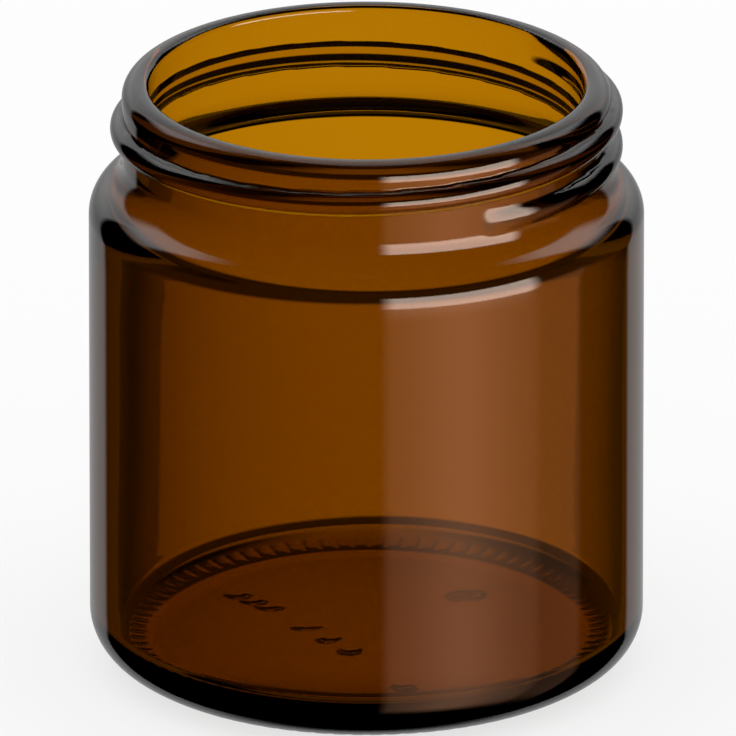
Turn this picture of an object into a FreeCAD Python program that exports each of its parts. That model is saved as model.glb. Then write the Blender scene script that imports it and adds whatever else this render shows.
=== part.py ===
"""Wide-mouth screw-neck cream jar of moulded amber glass, for about 120 ml.

The jar is one piece of glass: a thick base with a raised centre, a straight wall, a rounded shoulder and a
neck with a single-start right-hand screw thread. Lengths are in millimetres. The jar stands on Z = 0 with its
axis on +Z, and the thread begins near the front, which is -Y.
"""
import FreeCAD, Part
import math
import os
import Sketcher

Vector = FreeCAD.Vector

# alias: (value, what it is)
SIZES = {
    "body_diameter": (62.0, "outside of the straight wall"),
    "jar_height": (68.4, "resting plane to the top of the lip"),
    "wall_thickness": (2.8, "glass in the straight wall"),
    "floor_height": (5.0, "resting plane to the inside floor"),
    "floor_corner_radius": (1.6, "inside corner between floor and wall"),
    "heel_height": (6.2, "resting plane to the start of the straight wall"),
    "heel_upper_radius": (5.6, "heel curve next to the wall"),
    "heel_lower_radius": (8.7, "heel curve next to the resting plane"),
    "push_up_diameter": (44.0, "raised centre of the base"),
    "push_up_depth": (0.4, "rise of the raised centre"),
    "notch_count": (84.0, "short radial notches round the lower heel curve"),
    "notch_width": (0.6, "across one notch"),
    "notch_length": (2.8, "along one notch, outwards"),
    "notch_depth": (0.15, "up into the glass"),
    "notch_margin": (2.8, "from the raised centre to the notches"),
    "shoulder_radius": (3.8, "outward curve at the top of the wall"),
    "shoulder_angle": (58.6, "how far that curve turns, in degrees"),
    "neck_foot_radius": (3.6, "inward curve at the foot of the neck"),
    "neck_height": (9.2, "foot of the neck to the top of the lip"),
    "neck_diameter": (54.6, "neck wall between the threads"),
    "lip_outer_radius": (1.9, "outer edge of the lip"),
    "lip_inner_radius": (0.8, "inner edge of the lip"),
    "neck_wall": (3.0, "glass between the neck wall and the bore"),
    "cavity_flare_radius": (5.0, "inside curve at the foot of the bore"),
    "cavity_shoulder_radius": (1.0, "inside curve at the top of the wall"),
    "cavity_shoulder_angle": (58.0, "how far that curve turns, in degrees"),
    "thread_ridge_height": (1.3, "neck wall to the crest of the thread"),
    "thread_pitch": (4.15, "rise in one turn"),
    "thread_width": (2.7, "foot to foot of the rounded ridge"),
    "thread_height": (8.2, "top of the lip down to the start of the ridge"),
    "thread_start_angle": (-61.0, "start of the ridge, degrees from +X"),
    "thread_sweep": (467.0, "length of the ridge in degrees"),
    "thread_fade_angle": (42.0, "length of each tapered end in degrees"),
    "thread_root_depth": (0.5, "how far the ridge is rooted in the neck wall"),
}

NOTCH_REACH = 1.0               # how far a notch's section reaches below the resting plane
THREAD_SECTION_STEP = 11.0      # degrees between two sections of the ridge
THREAD_STRETCH_SECTIONS = 11    # sections to one lofted stretch of the ridge


def value(name):
    """The driving dimension of that name, as the spreadsheet holds it."""
    return float(sheet.get(name))


def fill_sheet(document):
    """Write every driving dimension into a spreadsheet, one alias to a row."""
    table = document.addObject("Spreadsheet::Sheet", "Sizes")
    for row, (name, (size, meaning)) in enumerate(SIZES.items(), start=1):
        table.set(f"A{row}", meaning)
        table.set(f"B{row}", str(size))
        table.setAlias(f"B{row}", name)
    document.recompute()
    return table


def origin_plane(body, role):
    """One of the body's own origin planes, such as XZ_Plane."""
    for feature in body.Origin.OriginFeatures:
        if feature.Role == role:
            return feature
    raise RuntimeError(f"{body.Label} has no {role}")


def new_sketch(body, name, role):
    """An empty sketch on one of the body's origin planes."""
    sketch = body.newObject("Sketcher::SketchObject", name)
    sketch.AttachmentSupport = [(origin_plane(body, role), "")]
    sketch.MapMode = "FlatFace"
    return sketch


def add_line(sketch, start, end):
    """A straight edge; its ends are positions 1 and 2."""
    return sketch.addGeometry(Part.LineSegment(Vector(*start, 0), Vector(*end, 0)), False)


def add_arc(sketch, centre, radius, start_angle, end_angle):
    """A counter-clockwise arc in degrees; its ends are positions 1 and 2."""
    circle = Part.Circle(Vector(*centre, 0), Vector(0, 0, 1), radius)
    first = math.radians(start_angle)
    last = math.radians(end_angle)
    return sketch.addGeometry(Part.ArcOfCircle(circle, first, last), False)


def relate(sketch, kind, *places):
    """A constraint that has no size, such as Horizontal or Tangent."""
    sketch.addConstraint(Sketcher.Constraint(kind, *places))


def dimension(sketch, kind, places, name, size, formula):
    """A named dimension of a sketch, bound to the spreadsheet by a formula."""
    index = sketch.addConstraint(Sketcher.Constraint(kind, *places, size))
    sketch.renameConstraint(index, name)
    sketch.setExpression(f"Constraints.{name}", formula)


ORIGIN = (-1, 1)
HEIGHT_AXIS = -2


def s_curve(radial_step, first_radius, second_radius, angle):
    """Height and straight length of two opposite arcs joined by a line, across a radial step."""
    turn = math.radians(angle)
    radii = first_radius + second_radius
    straight = (radial_step - radii * (1 - math.cos(turn))) / math.sin(turn)
    return radii * math.sin(turn) + straight * math.cos(turn), straight


def on_circle(centre, radius, angle):
    """The point of a circle at an angle in degrees."""
    turn = math.radians(angle)
    return (centre[0] + radius * math.cos(turn), centre[1] + radius * math.sin(turn))


def draw_blank(body):
    """Half of the jar's outside: base, heel, wall, shoulder, neck and outer lip."""
    body_radius = value("body_diameter") / 2
    neck_radius = value("neck_diameter") / 2
    top = value("jar_height")
    neck_foot = top - value("neck_height")
    shoulder = value("shoulder_radius")
    foot_curve = value("neck_foot_radius")
    angle = value("shoulder_angle")
    rise, _ = s_curve(body_radius - neck_radius, shoulder, foot_curve, angle)
    wall_top = neck_foot - rise
    heel = value("heel_height")
    upper = value("heel_upper_radius")
    lower = value("heel_lower_radius")
    lip = value("lip_outer_radius")
    upper_centre = (body_radius - upper, heel)
    drop = lower - heel
    land_radius = upper_centre[0] - math.sqrt((lower - upper) ** 2 - drop ** 2)
    lower_centre = (land_radius, lower)
    joint = math.degrees(math.atan2(heel - lower, upper_centre[0] - land_radius))
    shoulder_centre = (body_radius - shoulder, wall_top)
    foot_centre = (neck_radius + foot_curve, neck_foot)
    lip_centre = (neck_radius - lip, top - lip)

    sketch = new_sketch(body, "BlankSection", "XZ_Plane")
    base = add_line(sketch, (0, 0), (land_radius, 0))
    heel_low = add_arc(sketch, lower_centre, lower, -90, joint)
    heel_high = add_arc(sketch, upper_centre, upper, joint, 0)
    wall = add_line(sketch, (body_radius, heel), (body_radius, wall_top))
    bulge = add_arc(sketch, shoulder_centre, shoulder, 0, angle)
    slope = add_line(sketch, on_circle(shoulder_centre, shoulder, angle),
                     on_circle(foot_centre, foot_curve, 180 + angle))
    hollow = add_arc(sketch, foot_centre, foot_curve, 180, 180 + angle)
    neck = add_line(sketch, (neck_radius, neck_foot), (neck_radius, top - lip))
    edge = add_arc(sketch, lip_centre, lip, 0, 90)
    land = add_line(sketch, (neck_radius - lip, top), (0, top))
    axis = add_line(sketch, (0, top), (0, 0))

    relate(sketch, "Coincident", base, 1, *ORIGIN)
    relate(sketch, "Coincident", axis, 2, base, 1)
    relate(sketch, "Horizontal", base)
    relate(sketch, "Tangent", base, 2, heel_low, 1)
    relate(sketch, "Tangent", heel_low, 2, heel_high, 1)
    relate(sketch, "Tangent", heel_high, 2, wall, 1)
    relate(sketch, "Vertical", wall)
    relate(sketch, "Tangent", wall, 2, bulge, 1)
    relate(sketch, "Tangent", bulge, 2, slope, 1)
    relate(sketch, "Tangent", slope, 2, hollow, 2)
    relate(sketch, "Tangent", hollow, 1, neck, 1)
    relate(sketch, "Vertical", neck)
    relate(sketch, "Tangent", neck, 2, edge, 1)
    relate(sketch, "Tangent", edge, 2, land, 1)
    relate(sketch, "Horizontal", land)
    relate(sketch, "Coincident", land, 2, axis, 1)
    relate(sketch, "Vertical", axis)

    dimension(sketch, "DistanceX", (*ORIGIN, wall, 1), "wall_radius", body_radius, "Sizes.body_diameter / 2")
    dimension(sketch, "DistanceX", (*ORIGIN, neck, 1), "neck_radius", neck_radius, "Sizes.neck_diameter / 2")
    dimension(sketch, "DistanceY", (*ORIGIN, wall, 1), "heel_height", heel, "Sizes.heel_height")
    dimension(sketch, "DistanceY", (*ORIGIN, land, 2), "jar_height", top, "Sizes.jar_height")
    dimension(sketch, "DistanceY", (neck, 1, land, 2), "neck_height", top - neck_foot, "Sizes.neck_height")
    dimension(sketch, "Radius", (heel_low,), "heel_lower_radius", lower, "Sizes.heel_lower_radius")
    dimension(sketch, "Radius", (heel_high,), "heel_upper_radius", upper, "Sizes.heel_upper_radius")
    dimension(sketch, "Radius", (bulge,), "shoulder_radius", shoulder, "Sizes.shoulder_radius")
    dimension(sketch, "Radius", (hollow,), "neck_foot_radius", foot_curve, "Sizes.neck_foot_radius")
    dimension(sketch, "Radius", (edge,), "lip_outer_radius", lip, "Sizes.lip_outer_radius")
    dimension(sketch, "Angle", (slope,), "slope_direction", math.radians(90 + angle),
              "(90 + Sizes.shoulder_angle) * 1 deg")
    return sketch


def draw_cavity(body):
    """Half of the space inside: inner lip, bore, inside shoulder, wall and floor."""
    mouth_radius = value("neck_diameter") / 2 - value("neck_wall")
    wall_radius = value("body_diameter") / 2 - value("wall_thickness")
    top = value("jar_height")
    neck_foot = top - value("neck_height")
    lip = value("lip_inner_radius")
    neck_curve = value("cavity_flare_radius")
    shoulder = value("cavity_shoulder_radius")
    angle = value("cavity_shoulder_angle")
    drop, _ = s_curve(wall_radius - mouth_radius, neck_curve, shoulder, angle)
    wall_top = neck_foot - drop
    floor = value("floor_height")
    corner = value("floor_corner_radius")
    neck_centre = (mouth_radius + neck_curve, neck_foot)
    shoulder_centre = (wall_radius - shoulder, wall_top)

    sketch = new_sketch(body, "CavitySection", "XZ_Plane")
    mouth = add_line(sketch, (0, top), (mouth_radius + lip, top))
    edge = add_arc(sketch, (mouth_radius + lip, top - lip), lip, 90, 180)
    bore = add_line(sketch, (mouth_radius, top - lip), (mouth_radius, neck_foot))
    flare = add_arc(sketch, neck_centre, neck_curve, 180, 180 + angle)
    slope = add_line(sketch, on_circle(shoulder_centre, shoulder, angle),
                     on_circle(neck_centre, neck_curve, 180 + angle))
    bulge = add_arc(sketch, shoulder_centre, shoulder, 0, angle)
    wall = add_line(sketch, (wall_radius, wall_top), (wall_radius, floor + corner))
    bend = add_arc(sketch, (wall_radius - corner, floor + corner), corner, 270, 360)
    ground = add_line(sketch, (wall_radius - corner, floor), (0, floor))
    axis = add_line(sketch, (0, floor), (0, top))

    relate(sketch, "PointOnObject", mouth, 1, HEIGHT_AXIS)
    relate(sketch, "Coincident", axis, 2, mouth, 1)
    relate(sketch, "Horizontal", mouth)
    relate(sketch, "Tangent", mouth, 2, edge, 1)
    relate(sketch, "Tangent", edge, 2, bore, 1)
    relate(sketch, "Vertical", bore)
    relate(sketch, "Tangent", bore, 2, flare, 1)
    relate(sketch, "Tangent", flare, 2, slope, 2)
    relate(sketch, "Tangent", slope, 1, bulge, 2)
    relate(sketch, "Tangent", bulge, 1, wall, 1)
    relate(sketch, "Vertical", wall)
    relate(sketch, "Tangent", wall, 2, bend, 2)
    relate(sketch, "Tangent", bend, 1, ground, 1)
    relate(sketch, "Horizontal", ground)
    relate(sketch, "Coincident", ground, 2, axis, 1)
    relate(sketch, "Vertical", axis)

    dimension(sketch, "DistanceY", (*ORIGIN, mouth, 1), "jar_height", top, "Sizes.jar_height")
    dimension(sketch, "DistanceX", (*ORIGIN, bore, 1), "mouth_radius", mouth_radius,
              "Sizes.neck_diameter / 2 - Sizes.neck_wall")
    dimension(sketch, "DistanceX", (*ORIGIN, wall, 1), "wall_radius", wall_radius,
              "Sizes.body_diameter / 2 - Sizes.wall_thickness")
    dimension(sketch, "DistanceY", (bore, 2, mouth, 1), "neck_height", top - neck_foot, "Sizes.neck_height")
    dimension(sketch, "DistanceY", (*ORIGIN, ground, 1), "floor_height", floor, "Sizes.floor_height")
    dimension(sketch, "Radius", (edge,), "lip_inner_radius", lip, "Sizes.lip_inner_radius")
    dimension(sketch, "Radius", (flare,), "cavity_flare_radius", neck_curve, "Sizes.cavity_flare_radius")
    dimension(sketch, "Radius", (bulge,), "cavity_shoulder_radius", shoulder, "Sizes.cavity_shoulder_radius")
    dimension(sketch, "Radius", (bend,), "floor_corner_radius", corner, "Sizes.floor_corner_radius")
    dimension(sketch, "Angle", (slope,), "slope_direction", math.radians(90 + angle),
              "(90 + Sizes.cavity_shoulder_angle) * 1 deg")
    return sketch


def draw_push_up(body):
    """Half of the lens-shaped space under the raised centre of the base."""
    radius = value("push_up_diameter") / 2
    rise = value("push_up_depth")
    sphere = (radius ** 2 + rise ** 2) / (2 * rise)
    edge_angle = math.degrees(math.acos(radius / sphere))

    sketch = new_sketch(body, "PushUpSection", "XZ_Plane")
    rim = add_line(sketch, (0, 0), (radius, 0))
    dome = add_arc(sketch, (0, rise - sphere), sphere, edge_angle, 90)
    axis = add_line(sketch, (0, rise), (0, 0))
    relate(sketch, "Coincident", rim, 1, *ORIGIN)
    relate(sketch, "Horizontal", rim)
    relate(sketch, "Coincident", rim, 2, dome, 1)
    relate(sketch, "Coincident", dome, 2, axis, 1)
    relate(sketch, "Coincident", axis, 2, rim, 1)
    relate(sketch, "PointOnObject", dome, 3, HEIGHT_AXIS)
    relate(sketch, "Vertical", axis)
    dimension(sketch, "DistanceX", (*ORIGIN, rim, 2), "radius", radius, "Sizes.push_up_diameter / 2")
    dimension(sketch, "DistanceY", (*ORIGIN, dome, 2), "rise", rise, "Sizes.push_up_depth")
    return sketch


def draw_notch(body):
    """Section of one notch along the +X axis: its roof follows the lower heel curve."""
    start = value("push_up_diameter") / 2 + value("notch_margin")
    length = value("notch_length")
    heel = value("heel_lower_radius")
    upper = value("heel_upper_radius")
    roof_radius = heel - value("notch_depth")
    ring = value("body_diameter") / 2 - upper - math.sqrt(
        (heel - upper) ** 2 - (heel - value("heel_height")) ** 2)
    ends = [270 + math.degrees(math.asin((reach - ring) / roof_radius)) for reach in (start, start + length)]

    sketch = new_sketch(body, "NotchSection", "XZ_Plane")
    inner = add_line(sketch, (start, -NOTCH_REACH), on_circle((ring, heel), roof_radius, ends[0]))
    roof = add_arc(sketch, (ring, heel), roof_radius, *ends)
    outer = add_line(sketch, on_circle((ring, heel), roof_radius, ends[1]), (start + length, -NOTCH_REACH))
    below = add_line(sketch, (start + length, -NOTCH_REACH), (start, -NOTCH_REACH))
    relate(sketch, "Coincident", inner, 2, roof, 1)
    relate(sketch, "Coincident", roof, 2, outer, 1)
    relate(sketch, "Coincident", outer, 2, below, 1)
    relate(sketch, "Coincident", below, 2, inner, 1)
    relate(sketch, "Vertical", inner)
    relate(sketch, "Vertical", outer)
    relate(sketch, "Horizontal", below)
    dimension(sketch, "DistanceX", (*ORIGIN, inner, 1), "start", start,
              "Sizes.push_up_diameter / 2 + Sizes.notch_margin")
    dimension(sketch, "DistanceX", (below, 2, below, 1), "length", length, "Sizes.notch_length")
    dimension(sketch, "DistanceY", (inner, 1, *ORIGIN), "reach", NOTCH_REACH, f"{NOTCH_REACH} mm")
    dimension(sketch, "Radius", (roof,), "roof_radius", roof_radius,
              "Sizes.heel_lower_radius - Sizes.notch_depth")
    dimension(sketch, "DistanceY", (*ORIGIN, roof, 3), "roof_centre_height", heel, "Sizes.heel_lower_radius")
    dimension(sketch, "DistanceX", (*ORIGIN, roof, 3), "ring_radius", ring,
              "Sizes.body_diameter / 2 - Sizes.heel_upper_radius"
              " - sqrt((Sizes.heel_lower_radius - Sizes.heel_upper_radius) ^ 2"
              " - (Sizes.heel_lower_radius - Sizes.heel_height) ^ 2)")
    return sketch


def revolve(body, kind, name, sketch):
    """A Revolution or Groove of a section through a full turn about the jar's axis."""
    feature = body.newObject(kind, name)
    feature.Profile = sketch
    feature.ReferenceAxis = (origin_plane(body, "Z_Axis"), [""])
    feature.Angle = 360
    return feature


def make_glass(document):
    """The jar without its thread: a revolved blank, hollowed out, with a raised and notched base."""
    body = document.addObject("PartDesign::Body", "Glass")
    revolve(body, "PartDesign::Revolution", "Blank", draw_blank(body))
    document.recompute()
    blank_volume = body.Shape.Volume
    revolve(body, "PartDesign::Groove", "Cavity", draw_cavity(body))
    document.recompute()
    hollow_volume = body.Shape.Volume
    revolve(body, "PartDesign::Groove", "PushUp", draw_push_up(body))
    document.recompute()
    lens_volume = hollow_volume - body.Shape.Volume

    notch = body.newObject("PartDesign::Pocket", "Notch")
    notch.Profile = draw_notch(body)
    notch.Midplane = True
    notch.setExpression("Length", "Sizes.notch_width")
    document.recompute()
    notches = body.newObject("PartDesign::PolarPattern", "Notches")
    notches.Originals = [notch]
    notches.Axis = (origin_plane(body, "Z_Axis"), [""])
    notches.Angle = 360
    notches.setExpression("Occurrences", "Sizes.notch_count")
    body.Tip = notches
    document.recompute()
    notch_volume = hollow_volume - lens_volume - body.Shape.Volume

    print(f"blank {blank_volume:.0f}  cavity {blank_volume - hollow_volume:.0f}  "
          f"push-up {lens_volume:.0f}  notches {notch_volume:.2f} mm3")
    one_notch = value("notch_width") * value("notch_length") * value("notch_depth")
    if lens_volume <= 0 or notch_volume < 0.5 * one_notch * value("notch_count"):
        raise RuntimeError("the base was not cut as drawn")
    return body


def thread_section(angle, height, crest_radius):
    """The ridge's closed outline at one angle: a rounded face over a straight root in the neck wall."""
    root_radius = value("neck_diameter") / 2 - value("thread_root_depth")
    half = value("thread_width") / 2
    outwards = Vector(math.cos(math.radians(angle)), math.sin(math.radians(angle)), 0)
    low = outwards * root_radius + Vector(0, 0, height - half)
    crest = outwards * crest_radius + Vector(0, 0, height)
    high = outwards * root_radius + Vector(0, 0, height + half)
    return Part.Wire([Part.Arc(low, crest, high).toShape(), Part.LineSegment(high, low).toShape()])


def thread_rise(sweep, total, fade):
    """Share of the full ridge height at a sweep angle: 0 at the two ends, 1 past the tapered ends."""
    nearest_end = min(sweep, total - sweep)
    if nearest_end >= fade:
        return 1.0
    return math.sin(math.radians(90.0 * nearest_end / fade))


def make_thread(document):
    """The screw thread: a rounded ridge lofted along a right-hand helix, sinking into the wall at its ends.

    It is lofted in stretches of about a third of a turn, which share their end sections.
    """
    neck_radius = value("neck_diameter") / 2
    full_height = value("thread_ridge_height")
    buried = value("thread_root_depth") / 2
    total = value("thread_sweep")
    start = value("jar_height") - value("thread_height")
    count = math.ceil(total / THREAD_SECTION_STEP)
    sections = []
    for index in range(count + 1):
        sweep = total * index / count
        share = thread_rise(sweep, total, value("thread_fade_angle"))
        crest_radius = neck_radius - buried + (full_height + buried) * share
        angle = value("thread_start_angle") + sweep
        height = start + value("thread_pitch") * sweep / 360
        sections.append(thread_section(angle, height, crest_radius))
    stretches = []
    for first in range(0, count, THREAD_STRETCH_SECTIONS):
        last = min(first + THREAD_STRETCH_SECTIONS, count)
        stretches.append(Part.makeLoft(sections[first:last + 1], True, False))
    ridge = document.addObject("Part::Feature", "ThreadRidge")
    ridge.Shape = stretches[0].multiFuse(stretches[1:])
    return ridge


def check(document, parts):
    """Stop if any object failed, or a sub-part's shape is missing, broken or not one solid."""
    failed = [item.Name for item in document.Objects if {"Invalid", "Error"} & set(item.State)]
    if failed:
        raise RuntimeError(f"failed objects: {failed}")
    for part in parts:
        if part.Shape.isNull() or not part.Shape.isValid() or len(part.Shape.Solids) != 1:
            raise RuntimeError(f"{part.Label} is not one valid solid")


doc = FreeCAD.newDocument("CreamJar")
sheet = fill_sheet(doc)

glass = make_glass(doc)
thread = make_thread(doc)
jar = doc.addObject("Part::Fuse", "Jar")
jar.Label = "glass_jar"
jar.Base = glass
jar.Tool = thread
jar.Placement = FreeCAD.Placement(Vector(0, 0, 0), FreeCAD.Rotation())
doc.recompute()

check(doc, [jar])
thread_added = jar.Shape.Volume - glass.Shape.Volume
if thread_added <= 0:
    raise RuntimeError("the thread was not joined to the neck")
box = jar.Shape.optimalBoundingBox(False, False)
print(f"thread {thread_added:.1f} mm3, jar {jar.Shape.Volume:.1f} mm3")
print(f"box {box.XLength:.3f} x {box.YLength:.3f} x {box.ZLength:.3f} mm, lowest point {box.ZMin:.4f}")

os.makedirs("parts", exist_ok=True)
for sub_part in (jar,):
    sub_part.Shape.exportStep(f"parts/{sub_part.Label}.step")
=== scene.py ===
"""Amber glass cream jar with a screw neck, on a pale studio floor.

Lengths in the code are metres. The jar's axis is +Z and it stands on Z = 0, as in the frame.
"""
import math
from collections import namedtuple

import bpy
import numpy as np
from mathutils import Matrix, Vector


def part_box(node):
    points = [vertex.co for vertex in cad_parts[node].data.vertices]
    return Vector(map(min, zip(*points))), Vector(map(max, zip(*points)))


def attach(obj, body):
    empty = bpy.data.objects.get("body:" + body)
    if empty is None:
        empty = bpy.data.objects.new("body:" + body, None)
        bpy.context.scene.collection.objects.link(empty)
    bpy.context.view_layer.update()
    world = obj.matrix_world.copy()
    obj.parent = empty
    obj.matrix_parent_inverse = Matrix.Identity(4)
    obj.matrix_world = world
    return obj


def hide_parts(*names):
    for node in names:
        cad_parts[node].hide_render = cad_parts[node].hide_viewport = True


bl_info = {
    "name": "Amber Cream Jar",
    "version": (1, 0, 0),
    "blender": (4, 5, 0),
    "location": "View3D > Sidebar > Jar",
    "description": "Builds a moulded amber glass cream jar and a small studio around it",
    "category": "Add Mesh",
}

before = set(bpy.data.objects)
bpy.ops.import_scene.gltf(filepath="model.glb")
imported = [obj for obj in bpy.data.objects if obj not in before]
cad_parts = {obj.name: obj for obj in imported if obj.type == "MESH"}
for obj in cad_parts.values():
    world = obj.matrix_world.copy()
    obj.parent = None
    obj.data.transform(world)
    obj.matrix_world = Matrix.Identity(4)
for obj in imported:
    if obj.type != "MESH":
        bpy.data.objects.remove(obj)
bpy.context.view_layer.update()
JAR_LOW, JAR_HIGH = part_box("glass_jar")

MM = 0.001
NODE = "glass_jar"
BODY = "root"

JAR_RADIUS = (JAR_HIGH[0] - JAR_LOW[0]) / 2
JAR_HEIGHT = JAR_HIGH[2] - JAR_LOW[2]

COLUMNS = 288             # columns round the plain stretches; the base has twice as many
POLE_RADIUS = 1.2 * MM    # innermost row of the base and of the floor, round their poles
MARKS_START = 4.0 * MM    # the base has close rows between these two radii, for the tally marks
MARKS_END = 19.6 * MM
NOTCH_STEEPNESS = 1.6     # a notch is this cosine less its narrowing, cut off at 0 and 1
NOTCH_NARROWING = 0.4
NOTCH_SOFT_END = 0.35 * MM
UNEVEN_DEPTH = 12 * MM    # below the neck's foot, where the cavity's unevenness has its full size

FLOOR_SIDES = 96
FLOOR_DROP = 0.02 * MM    # keeps the floor clear of the bearing ring
SENSOR_WIDTH = 36.0


def length(name, default_mm, description):
    """A length property, given in millimetres and kept in metres."""
    return bpy.props.FloatProperty(name=name, description=description, default=default_mm * MM,
                                   unit="LENGTH", precision=5, min=0.0)


def degrees(name, default, description):
    """An angle property, given in degrees and kept in radians."""
    return bpy.props.FloatProperty(name=name, description=description, default=math.radians(default),
                                   subtype="ANGLE")


class JarSettings(bpy.types.PropertyGroup):
    """Sizes and glass of the jar that are not read from the frame."""
    wall: length("Wall", 2.8, "Glass thickness of the straight wall")
    floor_height: length("Floor height", 5.0, "Resting plane to the inside floor")
    floor_corner: length("Floor corner", 1.6, "Inside corner between floor and wall")
    heel_height: length("Heel height", 6.2, "Resting plane to the start of the straight wall")
    heel_upper: length("Upper heel radius", 5.6, "Heel curve next to the wall")
    heel_lower: length("Lower heel radius", 8.7, "Heel curve next to the resting plane")
    push_up_radius: length("Push-up radius", 22.0, "Radius of the raised centre of the base")
    push_up_depth: length("Push-up depth", 0.4, "Rise of the raised centre of the base")
    shoulder_radius: length("Shoulder radius", 3.8, "Outward curve at the top of the wall")
    shoulder_angle: degrees("Shoulder angle", 58.6, "How far the shoulder curve turns")
    neck_foot: length("Neck foot radius", 3.6, "Inward curve at the foot of the neck")
    neck_height: length("Neck height", 9.2, "Foot of the neck to the top of the lip")
    neck_radius: length("Neck radius", 27.3, "Neck wall between the threads")
    neck_wall: length("Neck wall", 3.0, "Glass between the neck wall and the bore")
    lip_outer: length("Outer lip radius", 1.9, "Outer edge of the lip")
    lip_inner: length("Inner lip radius", 0.8, "Inner edge of the lip")
    inner_shoulder: length("Inner shoulder radius", 1.0, "Inside curve at the top of the wall")
    inner_flare: length("Inner flare radius", 5.0, "Inside curve at the foot of the bore")
    inner_angle: degrees("Inner shoulder angle", 58.0, "How far the inside curve turns")
    thread_rise: length("Thread height", 1.3, "Neck wall to the crest of the thread")
    thread_pitch: length("Thread pitch", 4.15, "Rise in one turn")
    thread_width: length("Thread width", 2.7, "Foot to foot of the rounded ridge")
    thread_root: length("Thread root", 0.5, "Depth of the ridge's feet below the neck wall")
    thread_drop: length("Thread start", 8.2, "Top of the lip down to the start of the ridge")
    thread_start: degrees("Thread start angle", -61.0, "Where the ridge starts, from +X")
    thread_sweep: degrees("Thread sweep", 467.0, "Length of the ridge")
    thread_fade: degrees("Thread fade", 42.0, "Length of each tapered end")
    thread_blend: length("Thread blend", 0.9, "Soft fillet between the ridge and the neck")
    notch_count: bpy.props.IntProperty(name="Notches", description="Notches in the bearing ring",
                                       default=84, min=0)
    notch_margin: length("Notch margin", 2.8, "From the raised centre to the notches")
    notch_length: length("Notch length", 2.8, "Along one notch, outwards")
    notch_depth: length("Notch depth", 0.06, "Depth of one notch")
    mark_depth: length("Mark depth", 0.2, "Depth of the tally marks in the raised centre of the base")
    wall_shift: length("Wall shift", 0.35, "How far the cavity lies off the jar's axis, as blown glass does")
    ripple: length("Ripple", 0.05, "Uneven thickness of the blown inside")
    refraction: bpy.props.FloatProperty(name="Refraction", description="Refractive index of the glass",
                                        default=1.52, min=1.0)
    tint: bpy.props.FloatVectorProperty(
        name="Glass tint", description="Share of light that one wall lets through",
        subtype="COLOR", size=3, default=(0.70, 0.45, 0.006), min=0.0, max=1.0)
    absorb_colour: bpy.props.FloatVectorProperty(
        name="Glass colour", description="What one density length of glass lets through",
        subtype="COLOR", size=3, default=(0.74, 0.60, 0.0), min=0.0, max=1.0)
    absorb_density: bpy.props.FloatProperty(
        name="Glass density", description="Absorption per metre of the strongest absorbed colour",
        default=600.0, min=0.0)


class StudioSettings(bpy.types.PropertyGroup):
    """The camera, the light and the floor."""
    camera_distance: length("Camera distance", 3700.0, "Camera to the middle of the jar")
    camera_elevation: degrees("Camera elevation", 20.82, "Camera above the horizontal")
    view_width: length("View width", 82.29, "Width of the view at the jar")
    view_side: bpy.props.FloatProperty(name="View side", description="Aim point right of the jar's axis",
                                       default=0.175 * MM, unit="LENGTH")
    diffuse_level: bpy.props.FloatProperty(name="Room light", description="Light that matt surfaces receive",
                                           default=0.95, min=0.0)
    lamp_colour: bpy.props.FloatVectorProperty(
        name="Lamp colour", description="Colour of the soft boxes and cards that the gloss shows",
        subtype="COLOR", size=3, default=(1.0, 0.8, 0.68), min=0.0, max=1.0)
    table_colour: bpy.props.FloatVectorProperty(
        name="Table colour", description="Colour of the lit table that the wall's gloss shows",
        subtype="COLOR", size=3, default=(1.0, 0.5, 0.3), min=0.0, max=1.0)
    sweep_colour: bpy.props.FloatVectorProperty(
        name="Sweep colour", description="Colour of the light that one wall of glass shows",
        subtype="COLOR", size=3, default=(1.0, 0.8, 0.8), min=0.0, max=1.0)
    bounce_share: bpy.props.FloatProperty(name="Bounce share",
                                          description="Light kept by each reflection inside the glass",
                                          default=0.24, min=0.0, max=1.0)
    floor_glow: bpy.props.FloatProperty(name="Floor glow",
                                        description="Part of the floor's white that keeps no shadow",
                                        default=0.72, min=0.0, max=1.0)
    floor_radius: length("Floor radius", 4000.0, "Radius of the floor")


# ---------------------------------------------------------------------------------------------------
# The jar's surface
# ---------------------------------------------------------------------------------------------------

def arc(centre, radius, start, end, steps):
    """Points of a circle from one angle to another, both ends included.

    radius point = centre + radius * (cos a, sin a), with a in equal steps.
    """
    angle = np.linspace(start, end, steps + 1)
    return np.stack([centre[0] + radius * np.cos(angle), centre[1] + radius * np.sin(angle)], axis=1)


def line(start, end, steps):
    """Equal steps from one point to another, both ends included."""
    share = np.linspace(0.0, 1.0, steps + 1)[:, None]
    return np.asarray(start) * (1 - share) + np.asarray(end) * share


def join(stretches):
    """One run of profile points from stretches that share their end points."""
    return np.concatenate([stretches[0]] + [stretch[1:] for stretch in stretches[1:]])


def s_curve(step, first, second, angle):
    """Height and straight length of two opposite arcs joined by a line, across a radial step."""
    straight = (step - (first + second) * (1 - math.cos(angle))) / math.sin(angle)
    return (first + second) * math.sin(angle) + straight * math.cos(angle), straight


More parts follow.
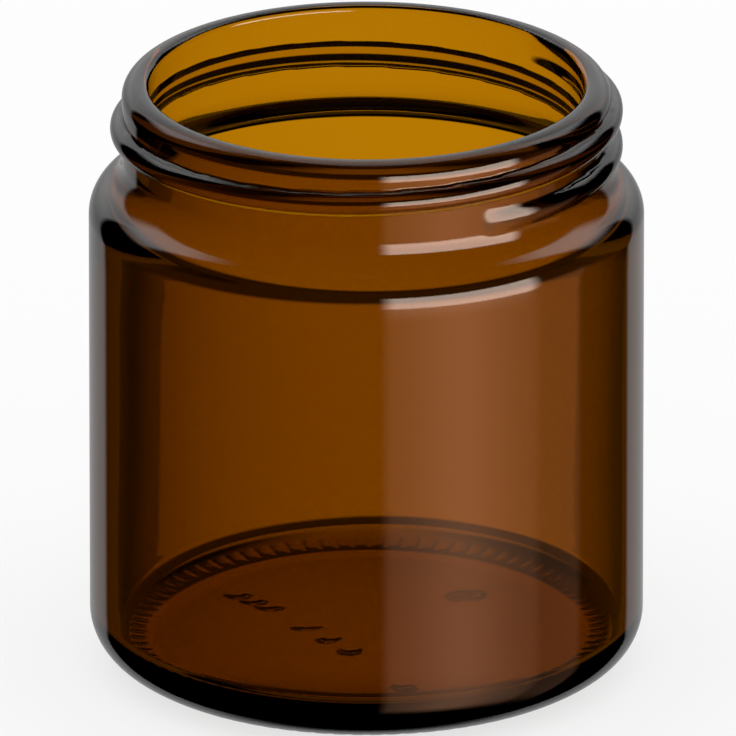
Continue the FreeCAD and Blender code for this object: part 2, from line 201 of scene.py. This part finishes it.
def base_profile(s):
    """The underside from just off its centre to the end of the lower heel curve.

    The raised centre is part of a sphere, the bearing ring is flat and the heel is a circular arc.
    """
    sphere = (s.push_up_radius ** 2 + s.push_up_depth ** 2) / (2 * s.push_up_depth)
    radius = np.concatenate([np.linspace(POLE_RADIUS, MARKS_START, 4)[:-1],
                             np.linspace(MARKS_START, MARKS_END, 36)[:-1],
                             np.linspace(MARKS_END, s.push_up_radius, 4)])
    dome = np.stack([radius, s.push_up_depth - sphere + np.sqrt(sphere ** 2 - radius ** 2)], axis=1)
    dome[-1, 1] = 0.0
    ring = line((s.push_up_radius, 0.0), (ring_radius(s), 0.0), steps=8)
    heel = arc((ring_radius(s), s.heel_lower), s.heel_lower, -math.pi / 2, heel_joint(s), steps=22)
    return join([dome, ring, heel])


def ring_radius(s):
    """Outer radius of the bearing ring, where the lower heel curve touches the resting plane."""
    gap = (s.heel_lower - s.heel_upper) ** 2 - (s.heel_lower - s.heel_height) ** 2
    return JAR_RADIUS - s.heel_upper - math.sqrt(gap)


def heel_joint(s):
    """Direction, from both heel centres, of the point where the two heel curves meet."""
    return math.atan2(s.heel_height - s.heel_lower, JAR_RADIUS - s.heel_upper - ring_radius(s))


def outer_profile(s):
    """The outside from the middle of the heel up to the foot of the neck: heel, wall and shoulder."""
    upper_centre = (JAR_RADIUS - s.heel_upper, s.heel_height)
    neck_foot = JAR_HEIGHT - s.neck_height
    rise, _ = s_curve(JAR_RADIUS - s.neck_radius, s.shoulder_radius, s.neck_foot, s.shoulder_angle)
    wall_top = neck_foot - rise
    shoulder = arc((JAR_RADIUS - s.shoulder_radius, wall_top), s.shoulder_radius,
                   0, s.shoulder_angle, steps=16)
    foot = arc((s.neck_radius + s.neck_foot, neck_foot), s.neck_foot,
               math.pi + s.shoulder_angle, math.pi, steps=16)
    return join([
        arc(upper_centre, s.heel_upper, heel_joint(s), 0, steps=10),
        line((JAR_RADIUS, s.heel_height), (JAR_RADIUS, wall_top), steps=14),
        shoulder,
        np.array([shoulder[-1], foot[0]]),
        foot,
    ])


def neck_profile(s):
    """The neck wall with rows close enough for the thread, and the outer edge of the lip."""
    neck_foot = JAR_HEIGHT - s.neck_height
    lip_low = JAR_HEIGHT - s.lip_outer
    return join([
        line((s.neck_radius, neck_foot), (s.neck_radius, lip_low), steps=52),
        arc((s.neck_radius - s.lip_outer, lip_low), s.lip_outer, 0, math.pi / 2, steps=14),
    ])


def inner_profile(s):
    """The top of the lip, the bore, the inside shoulder, the wall and the floor."""
    bore = s.neck_radius - s.neck_wall
    wall = JAR_RADIUS - s.wall
    neck_foot = JAR_HEIGHT - s.neck_height
    drop, _ = s_curve(wall - bore, s.inner_flare, s.inner_shoulder, s.inner_angle)
    wall_top = neck_foot - drop
    corner_height = s.floor_height + s.floor_corner
    flared = arc((bore + s.inner_flare, neck_foot), s.inner_flare, math.pi, math.pi + s.inner_angle, steps=12)
    shoulder = arc((wall - s.inner_shoulder, wall_top), s.inner_shoulder, s.inner_angle, 0, steps=8)
    return join([
        line((s.neck_radius - s.lip_outer, JAR_HEIGHT), (bore + s.lip_inner, JAR_HEIGHT), steps=1),
        arc((bore + s.lip_inner, JAR_HEIGHT - s.lip_inner), s.lip_inner, math.pi / 2, math.pi, steps=7),
        line((bore, JAR_HEIGHT - s.lip_inner), (bore, neck_foot), steps=6),
        flared,
        np.array([flared[-1], shoulder[0]]),
        shoulder,
        line((wall, wall_top), (wall, corner_height), steps=14),
        arc((wall - s.floor_corner, corner_height), s.floor_corner, 0, -math.pi / 2, steps=12),
        line((wall - s.floor_corner, s.floor_height), (POLE_RADIUS, s.floor_height), steps=9),
    ])


def smooth_max(first, second, blend):
    """The larger of two fields, rounded off where they are nearer than blend.

    max(a, b) + h * h / (4 * blend), with h = how far |a - b| falls short of blend.
    """
    near = np.clip(blend - np.abs(first - second), 0.0, None)
    return np.maximum(first, second) + near ** 2 / (4 * blend)


def threaded(s, radius, height, angle):
    """Radius of the neck with the thread on it.

    At each angle the ridge's middle rises by one pitch a turn. Its face is a circle through the crest and
    two feet below the neck wall, and it sinks into the wall with a sine over each tapered end.
    """
    result = radius.copy()
    half = s.thread_width / 2
    start_height = JAR_HEIGHT - s.thread_drop
    first_sweep = np.mod(angle - s.thread_start, 2 * math.pi)
    for turn in range(2):
        sweep = first_sweep + turn * 2 * math.pi
        end = np.minimum(sweep, s.thread_sweep - sweep)
        share = np.sin(np.clip(end / s.thread_fade, 0.0, 1.0) * math.pi / 2)
        middle = start_height + s.thread_pitch * sweep / (2 * math.pi)
        buried = s.thread_root / 2
        crest = s.neck_radius - buried + (s.thread_rise + buried) * share
        rise = crest - (s.neck_radius - s.thread_root)
        face = (half ** 2 + rise ** 2) / (2 * rise)
        offset = height - middle
        inside = np.clip(face ** 2 - offset ** 2, 0.0, None)
        ridge = crest - face + np.sqrt(inside)
        ridge = np.where((end > 0) & (inside > 0), ridge, 0.0)
        result = smooth_max(result, ridge, s.thread_blend)
    return result


def notched(s, radius, height, angle):
    """Height of the bearing ring with its radial notches.

    Depth times a raised cosine round the ring, times a soft window along the radius.
    """
    start = s.push_up_radius + s.notch_margin
    across = np.clip(NOTCH_STEEPNESS * np.cos(angle * s.notch_count) - NOTCH_NARROWING, 0.0, 1.0)
    ends = np.minimum(radius - start, start + s.notch_length - radius) / NOTCH_SOFT_END
    return height + s.notch_depth * across * np.clip(ends, 0.0, 1.0)


# One row of crescents pressed by the mould: first spot, step to the next (x and y in mm) and their number.
MarkRow = namedtuple("MarkRow", "spot step count")
CRESCENT_ROWS = (
    MarkRow((-15.0, 10.5), (1.9, -1.9), 3),
    MarkRow((-7.0, 0.5), (2.5, -3.6), 3),
    MarkRow((4.0, -17.5), (0.0, 0.0), 1),
)
RING_SPOTS = ((10.2, 9.5), (11.8, 9.5))

# A mark's bend radius, half-angle of its span and half-width. A span past a half turn closes it to a ring.
MarkShape = namedtuple("MarkShape", "bend span half_width")
CRESCENT = MarkShape(1.4 * MM, 1.1, 0.42 * MM)
RING = MarkShape(1.1 * MM, 10.0, 0.3 * MM)
MARK_EDGE = 1.5           # steepness of a mark's sides


def mark_relief(radius, angle, spot, shape):
    """Relief of one mark, 0 to 1: full along an arc round the spot, thinning to its two tips.

    The distance to the arc's circle is compared with the half-width, which shrinks towards the tips.
    """
    x = radius * np.cos(angle) - spot[0] * MM
    y = radius * np.sin(angle) - spot[1] * MM
    reach = np.abs(np.arctan2(x, -y)) / shape.span
    half = shape.half_width * np.sqrt(np.clip(1 - reach ** 2, 0.0, None))
    gap = np.abs(np.hypot(x, y) - shape.bend)
    return np.clip(MARK_EDGE * (1 - gap / np.maximum(half, 1e-9)), 0.0, 1.0) * (reach < 1)


def tally_marks(radius, angle):
    """Relief of the mould's plain tally marks on the underside: rows of crescents and a pair of rings."""
    marks = [((row.spot[0] + index * row.step[0], row.spot[1] + index * row.step[1]), CRESCENT)
             for row in CRESCENT_ROWS for index in range(row.count)]
    marks += [(spot, RING) for spot in RING_SPOTS]
    return np.max([mark_relief(radius, angle, spot, shape) for spot, shape in marks], axis=0)


def build_rows(s):
    """Radius, height and angle of the surface's points, as arrays of rows by columns.

    The base comes first, then all the rest with half the columns, then which rows of the rest lie inside.
    """
    fine = np.arange(2 * COLUMNS) * math.pi / COLUMNS
    coarse = np.arange(COLUMNS) * 2 * math.pi / COLUMNS

    base = base_profile(s)
    base_angle, base_radius = np.meshgrid(fine, base[:, 0])
    base_height = np.repeat(base[:, 1:], len(fine), axis=1)
    base_height = notched(s, base_radius, base_height, base_angle)
    base_height = base_height + s.mark_depth * tally_marks(base_radius, base_angle)

    outer = outer_profile(s)[1:]
    neck = neck_profile(s)[1:]
    inner = inner_profile(s)[1:]
    profile = np.concatenate([outer, neck, inner])
    angle, radius = np.meshgrid(coarse, profile[:, 0])
    height = np.repeat(profile[:, 1:], len(coarse), axis=1)
    outside = np.arange(len(profile)) < len(outer) + len(neck)
    low = JAR_HEIGHT - s.neck_height - s.thread_width
    rows = outside & (profile[:, 1] > low)
    radius[rows] = threaded(s, radius[rows], height[rows], angle[rows])
    return (base_radius, base_height, base_angle), (radius, height, angle), ~outside


# One wave of the ripple: its share, its count round the jar, its phase and its twist over the height.
Wave = namedtuple("Wave", "share count phase twist")
RIPPLE_WAVES = (
    Wave(0.45, 2, 0.8, 0.7),
    Wave(0.3, 3, -1.1, -1.0),
    Wave(0.15, 5, 2.0, 1.5),
    Wave(0.1, 7, 0.0, -2.2),
)


def uneven(s, radius, height, angle):
    """Radius of the blown inside with a sideways shift of the wall and a slow ripple.

    The ripple is a sum of sines of angle and height. Both fade out towards the bore and the floor's middle.
    """
    bore_end = JAR_HEIGHT - s.neck_height
    depth = np.clip((bore_end - height) / UNEVEN_DEPTH, 0.0, 1.0)
    fade = depth ** 2 * (3 - 2 * depth)
    turn = height / JAR_HEIGHT * 2 * math.pi
    ripple = sum(wave.share * np.sin(wave.count * angle + wave.phase + wave.twist * turn)
                 for wave in RIPPLE_WAVES)
    spread = np.clip(radius / (JAR_RADIUS - s.wall), 0.0, 1.0) ** 2
    return radius + fade * spread * (s.ripple * ripple + s.wall_shift * np.cos(angle))


def ring_faces(first, second, columns):
    """Quads between two rows of vertices, each row given by its first index."""
    column = np.arange(columns)
    following = (column + 1) % columns
    return np.stack([first + column, first + following, second + following, second + column], axis=1)


def halving_faces(first, second, columns):
    """Triangles between a row of twice the columns and a row of the columns."""
    column = np.arange(columns)
    following = (column + 1) % columns
    left = first + 2 * column
    middle = left + 1
    right = first + (2 * column + 2) % (2 * columns)
    lower = second + column
    upper = second + following
    return np.concatenate([np.stack([left, middle, lower], axis=1),
                           np.stack([middle, upper, lower], axis=1),
                           np.stack([middle, right, upper], axis=1)])


def fan_faces(centre, first, columns, outwards):
    """Triangles from a pole to the row round it."""
    column = np.arange(columns)
    following = (column + 1) % columns
    a = np.full(columns, centre)
    pair = (first + following, first + column) if outwards else (first + column, first + following)
    return np.stack([a, *pair], axis=1)


def place(radius, height, angle):
    """Points of rows and columns as one list: x = r cos a, y = r sin a, z = height."""
    return np.stack([radius * np.cos(angle), radius * np.sin(angle), height], axis=2).reshape(-1, 3)


def make_jar_mesh(s):
    """One closed skin: underside, outside, lip and inside, with a pole at the middle of base and floor."""
    (b_radius, b_height, b_angle), (radius, height, angle), inside = build_rows(s)
    radius[inside] = uneven(s, radius[inside], height[inside], angle[inside])
    fine = b_radius.shape[1]
    base_rows, rows = b_radius.shape[0], radius.shape[0]
    points = np.concatenate([place(b_radius, b_height, b_angle), place(radius, height, angle),
                             [[0.0, 0.0, s.push_up_depth], [0.0, 0.0, s.floor_height]]])
    upper_start = base_rows * fine
    base_pole = len(points) - 2
    floor_pole = len(points) - 1
    quads = [ring_faces(row * fine, (row + 1) * fine, fine) for row in range(base_rows - 1)]
    quads += [ring_faces(upper_start + row * COLUMNS, upper_start + (row + 1) * COLUMNS, COLUMNS)
              for row in range(rows - 1)]
    triangles = [halving_faces((base_rows - 1) * fine, upper_start, COLUMNS),
                 fan_faces(base_pole, 0, fine, True),
                 fan_faces(floor_pole, upper_start + (rows - 1) * COLUMNS, COLUMNS, False)]
    return new_mesh("JarGlass", points, np.concatenate(quads), np.concatenate(triangles))


def new_mesh(name, points, quads, triangles):
    """A smooth-shaded mesh from arrays of points, quads and triangles."""
    mesh = bpy.data.meshes.new(name)
    loops = np.concatenate([quads.ravel(), triangles.ravel()]).astype(np.int32)
    starts = np.concatenate([np.arange(len(quads)) * 4,
                             len(quads) * 4 + np.arange(len(triangles)) * 3]).astype(np.int32)
    mesh.vertices.add(len(points))
    mesh.vertices.foreach_set("co", points.astype(np.float32).ravel())
    mesh.loops.add(len(loops))
    mesh.loops.foreach_set("vertex_index", loops)
    mesh.polygons.add(len(starts))
    mesh.polygons.foreach_set("loop_start", starts)
    mesh.polygons.foreach_set("use_smooth", np.ones(len(starts), dtype=bool))
    mesh.update(calc_edges=True)
    mesh.validate()
    return mesh


# ---------------------------------------------------------------------------------------------------
# The glass
# ---------------------------------------------------------------------------------------------------

def amber_glass(s):
    """Clear glass with its colour in its depth, so that thick stretches are darker."""
    material = bpy.data.materials.new("AmberGlass")
    material.use_nodes = True
    tree = material.node_tree
    tree.nodes.clear()
    output = tree.nodes.new("ShaderNodeOutputMaterial")
    shader = tree.nodes.new("ShaderNodeBsdfPrincipled")
    shader.inputs["Base Color"].default_value = (*s.tint, 1.0)
    shader.inputs["Roughness"].default_value = 0.0
    shader.inputs["IOR"].default_value = s.refraction
    shader.inputs["Transmission Weight"].default_value = 1.0
    depth = tree.nodes.new("ShaderNodeVolumeAbsorption")
    depth.inputs["Color"].default_value = (*s.absorb_colour, 1.0)
    depth.inputs["Density"].default_value = s.absorb_density
    tree.links.new(shader.outputs["BSDF"], output.inputs["Surface"])
    tree.links.new(depth.outputs["Volume"], output.inputs["Volume"])
    return material


# ---------------------------------------------------------------------------------------------------
# The studio
# ---------------------------------------------------------------------------------------------------

class NodeMaths:
    """Short names for the maths nodes of one node tree."""

    def __init__(self, tree):
        self.tree = tree

    def do(self, operation, first, second=None):
        """One Math node; each input is a socket or a number."""
        node = self.tree.nodes.new("ShaderNodeMath")
        node.operation = operation
        for socket, given in zip(node.inputs, (first, second)):
            if given is None:
                continue
            if isinstance(given, (int, float)):
                socket.default_value = given
            else:
                self.tree.links.new(given, socket)
        return node.outputs[0]

    def step(self, value, low, high):
        """A smooth step from 0 at low to 1 at high."""
        node = self.tree.nodes.new("ShaderNodeMapRange")
        node.interpolation_type = "SMOOTHSTEP"
        node.inputs["From Min"].default_value = low
        node.inputs["From Max"].default_value = high
        self.tree.links.new(value, node.inputs["Value"])
        return node.outputs["Result"]

    def window(self, value, low, high, soft):
        """1 between low and high, falling softly to 0 outside."""
        rising = self.step(value, low - soft, low + soft)
        falling = self.step(value, high - soft, high + soft)
        return self.do("SUBTRACT", rising, falling)

    def add_all(self, values):
        """The sum of several sockets."""
        total = values[0]
        for value in values[1:]:
            total = self.do("ADD", total, value)
        return total


# A patch of light, angles in degrees: the bearing runs from +Y towards +X, the edges are soft.
Patch = namedtuple("Patch", "name bearing half_width side_edge elevation half_height upper_edge strength")

# Gloss shows the mirrored lists. Glass shows one list behind a single wall and another behind two or more.
MIRRORED_SWEEP = (
    Patch("upper sweep", 0.0, 40.0, 2.5, 42.0, 38.0, 10.0, 0.9),
    Patch("high window right", 52.0, 13.0, 5.0, 42.0, 14.0, 8.0, 1.6),
    Patch("high window left", -52.0, 13.0, 5.0, 42.0, 14.0, 8.0, 1.6),
    Patch("lower sweep", 0.0, 40.0, 2.5, -28.0, 32.0, 10.0, 0.45),
)
MIRRORED_LAMP = (
    Patch("soft box", 139.5, 32.0, 4.0, 0.0, 17.5, 2.5, 7.5),
)
MIRRORED_TABLE = (
    Patch("lit table", 126.0, 46.0, 3.0, -26.0, 22.0, 8.0, 0.4),
    Patch("lit table front", 138.0, 34.0, 4.0, -26.0, 22.0, 8.0, 0.5),
    Patch("lit table middle", 140.0, 14.0, 22.0, -26.0, 22.0, 8.0, 1.5),
)
BEHIND_ONE_WALL = (
    Patch("sweep", 0.0, 200.0, 1.0, -31.5, 16.5, 2.0, 1.12),
    Patch("upper wall", 0.0, 200.0, 1.0, 49.0, 41.0, 3.0, 0.85),
    Patch("table below", 0.0, 200.0, 1.0, -80.0, 16.0, 4.0, 0.8),
)
BEHIND_TWO_WALLS = (
    Patch("card", -2.0, 8.0, 0.25, -10.5, 15.5, 2.0, 0.28),
    Patch("card glow", -1.0, 3.0, 5.0, -10.5, 15.5, 2.0, 0.2),
    Patch("card haze", 3.0, 14.0, 12.0, -10.5, 15.5, 2.0, 0.55),
    Patch("card foot", 0.0, 41.0, 7.0, -31.0, 5.0, 2.0, 0.1),
    Patch("near table", 0.0, 7.0, 5.0, -45.0, 8.5, 1.5, 0.65),
    Patch("under table", 0.0, 41.0, 7.0, -76.0, 22.5, 3.0, 0.1),
    Patch("far card right", 107.0, 66.0, 7.0, -42.0, 47.0, 3.0, 0.95),
    Patch("far card left", -107.0, 66.0, 7.0, -42.0, 47.0, 3.0, 0.7),
    Patch("wall", 0.0, 200.0, 1.0, 66.0, 50.0, 6.0, 0.5),
)

ONE_WALL_CROSSINGS = 3.5  # light that has crossed fewer glass surfaces has passed one wall


def light_patches(maths, direction, patches):
    """Brightness of a list of patches in a direction: each a window of bearing times one of elevation."""
    split = maths.tree.nodes.new("ShaderNodeSeparateXYZ")
    maths.tree.links.new(direction, split.inputs[0])
    bearing = maths.do("MULTIPLY", maths.do("ARCTAN2", split.outputs["X"], split.outputs["Y"]), 180 / math.pi)
    elevation = maths.do("MULTIPLY", maths.do("ARCSINE", split.outputs["Z"]), 180 / math.pi)
    lit = []
    for patch in patches:
        turned = maths.do("WRAP", maths.do("SUBTRACT", bearing, patch.bearing), 180.0)
        turned.node.inputs[2].default_value = -180.0
        across = maths.window(turned, -patch.half_width, patch.half_width, patch.side_edge)
        low, high = patch.elevation - patch.half_height, patch.elevation + patch.half_height
        upwards = maths.window(elevation, low, high, patch.upper_edge)
        lit.append(maths.do("MULTIPLY", maths.do("MULTIPLY", across, upwards), patch.strength))
    return maths.add_all(lit)


def make_world(studio):
    """White to the camera; soft patches in a dim room to glass and gloss; even light to matt surfaces.

    Each reflection inside the glass multiplies the light by the bounce share.
    """
    world = bpy.data.worlds.new("Studio")
    bpy.context.scene.world = world
    world.use_nodes = True
    tree = world.node_tree
    tree.nodes.clear()
    maths = NodeMaths(tree)
    direction = tree.nodes.new("ShaderNodeTexCoord").outputs["Generated"]
    path = tree.nodes.new("ShaderNodeLightPath")
    camera = path.outputs["Is Camera Ray"]
    through = path.outputs["Is Transmission Ray"]
    either = maths.do("MAXIMUM", path.outputs["Is Glossy Ray"], through)
    glossy = maths.do("SUBTRACT", either, through)
    plain = maths.do("SUBTRACT", 1.0, maths.do("MAXIMUM", camera, either))
    bounced = maths.do("POWER", studio.bounce_share, path.outputs["Glossy Depth"])
    kept = maths.do("MULTIPLY", through, bounced)
    one_wall = maths.do("LESS_THAN", path.outputs["Transmission Depth"], ONE_WALL_CROSSINGS)
    kept_by_one = maths.do("MULTIPLY", kept, one_wall)
    kept_by_more = maths.do("SUBTRACT", kept, kept_by_one)

    def lit(share, patches):
        """The patches' brightness for the given share of the rays."""
        return maths.do("MULTIPLY", share, light_patches(maths, direction, patches))

    white = maths.add_all([camera, lit(kept_by_more, BEHIND_TWO_WALLS), lit(glossy, MIRRORED_SWEEP),
                           maths.do("MULTIPLY", plain, studio.diffuse_level)])
    sweep = lit(kept_by_one, BEHIND_ONE_WALL)
    lamp = lit(glossy, MIRRORED_LAMP)
    table = lit(glossy, MIRRORED_TABLE)
    total = None
    for colour, strength in (((1.0, 1.0, 1.0), white), (studio.sweep_colour, sweep),
                             (studio.lamp_colour, lamp), (studio.table_colour, table)):
        background = tree.nodes.new("ShaderNodeBackground")
        background.inputs["Color"].default_value = (*colour, 1.0)
        tree.links.new(strength, background.inputs["Strength"])
        total = add_light(tree, total, background.outputs["Background"])
    output = tree.nodes.new("ShaderNodeOutputWorld")
    tree.links.new(total, output.inputs["Surface"])


def add_light(tree, first, second):
    """The sum of two shader sockets, or the second alone when there is no first."""
    if first is None:
        return second
    both = tree.nodes.new("ShaderNodeAddShader")
    tree.links.new(first, both.inputs[0])
    tree.links.new(second, both.inputs[1])
    return both.outputs["Shader"]


def make_floor(studio):
    """A pale round floor that keeps the jar's shadow and is white elsewhere."""
    angle = np.arange(FLOOR_SIDES) * 2 * math.pi / FLOOR_SIDES
    rim = np.stack([studio.floor_radius * np.cos(angle), studio.floor_radius * np.sin(angle),
                    np.full(FLOOR_SIDES, -FLOOR_DROP)], axis=1)
    mesh = bpy.data.meshes.new("Floor")
    mesh.from_pydata(rim.tolist(), [], [list(range(FLOOR_SIDES))])
    floor = bpy.data.objects.new("Floor", mesh)
    bpy.context.scene.collection.objects.link(floor)
    material = bpy.data.materials.new("FloorPaint")
    material.use_nodes = True
    tree = material.node_tree
    tree.nodes.clear()
    matt = tree.nodes.new("ShaderNodeBsdfDiffuse")
    level = 1.0 - studio.floor_glow
    matt.inputs["Color"].default_value = (level, level, level, 1.0)
    glow = tree.nodes.new("ShaderNodeEmission")
    path = tree.nodes.new("ShaderNodeLightPath")
    maths = NodeMaths(tree)
    tree.links.new(maths.do("MULTIPLY", path.outputs["Is Camera Ray"], studio.floor_glow),
                   glow.inputs["Strength"])
    both = tree.nodes.new("ShaderNodeAddShader")
    tree.links.new(matt.outputs[0], both.inputs[0])
    tree.links.new(glow.outputs[0], both.inputs[1])
    output = tree.nodes.new("ShaderNodeOutputMaterial")
    tree.links.new(both.outputs[0], output.inputs["Surface"])
    mesh.materials.append(material)
    floor.visible_glossy = False
    floor.visible_transmission = False


def make_camera(studio):
    """A long lens that looks slightly down into the mouth and at the front of the jar."""
    camera = bpy.data.cameras.new("Camera")
    camera.sensor_width = SENSOR_WIDTH
    camera.lens = camera.sensor_width * studio.camera_distance / studio.view_width
    camera.clip_start = 0.1
    camera.clip_end = 100.0
    holder = bpy.data.objects.new("Camera", camera)
    bpy.context.scene.collection.objects.link(holder)
    tilt = studio.camera_elevation
    middle = (JAR_HIGH[2] + JAR_LOW[2]) / 2
    holder.location = (studio.view_side, -studio.camera_distance * math.cos(tilt),
                       middle + studio.camera_distance * math.sin(tilt))
    holder.rotation_euler = (math.pi / 2 - tilt, 0.0, 0.0)
    bpy.context.scene.camera = holder


# ---------------------------------------------------------------------------------------------------
# Operators and panel
# ---------------------------------------------------------------------------------------------------

class JAR_OT_glass(bpy.types.Operator):
    """Build the moulded glass jar in place of its CAD node"""
    bl_idname = "jar.glass"
    bl_label = "Glass jar"

    def execute(self, context):
        settings = context.scene.jar_settings
        mesh = make_jar_mesh(settings)
        mesh.materials.append(amber_glass(settings))
        piece = bpy.data.objects.new("jar_glass", mesh)
        context.scene.collection.objects.link(piece)
        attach(piece, BODY)
        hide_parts(NODE)
        return {"FINISHED"}


class JAR_OT_studio(bpy.types.Operator):
    """Set up the camera, the floor and the light"""
    bl_idname = "jar.studio"
    bl_label = "Studio"

    def execute(self, context):
        studio = context.scene.jar_studio
        make_camera(studio)
        make_world(studio)
        make_floor(studio)
        context.scene.view_settings.view_transform = "Standard"
        return {"FINISHED"}


class JAR_PT_panel(bpy.types.Panel):
    """Sidebar panel with the jar's operators and sizes"""
    bl_idname = "JAR_PT_panel"
    bl_label = "Amber cream jar"
    bl_space_type = "VIEW_3D"
    bl_region_type = "UI"
    bl_category = "Jar"

    def draw(self, context):
        layout = self.layout
        for operator in (JAR_OT_glass, JAR_OT_studio):
            layout.operator(operator.bl_idname)
        for group in (context.scene.jar_settings, context.scene.jar_studio):
            box = layout.box()
            for name in group.__annotations__:
                box.prop(group, name)


CLASSES = (JarSettings, StudioSettings, JAR_OT_glass, JAR_OT_studio, JAR_PT_panel)


def register():
    """Register the classes and hang the settings on the scene."""
    for item in CLASSES:
        bpy.utils.register_class(item)
    bpy.types.Scene.jar_settings = bpy.props.PointerProperty(type=JarSettings)
    bpy.types.Scene.jar_studio = bpy.props.PointerProperty(type=StudioSettings)


def unregister():
    """Take the settings and the classes away again."""
    del bpy.types.Scene.jar_studio
    del bpy.types.Scene.jar_settings
    for item in reversed(CLASSES):
        bpy.utils.unregister_class(item)


def main():
    """Build the jar and its studio."""
    register()
    bpy.ops.jar.glass()
    bpy.ops.jar.studio()


if __name__ == "__main__":
    main()
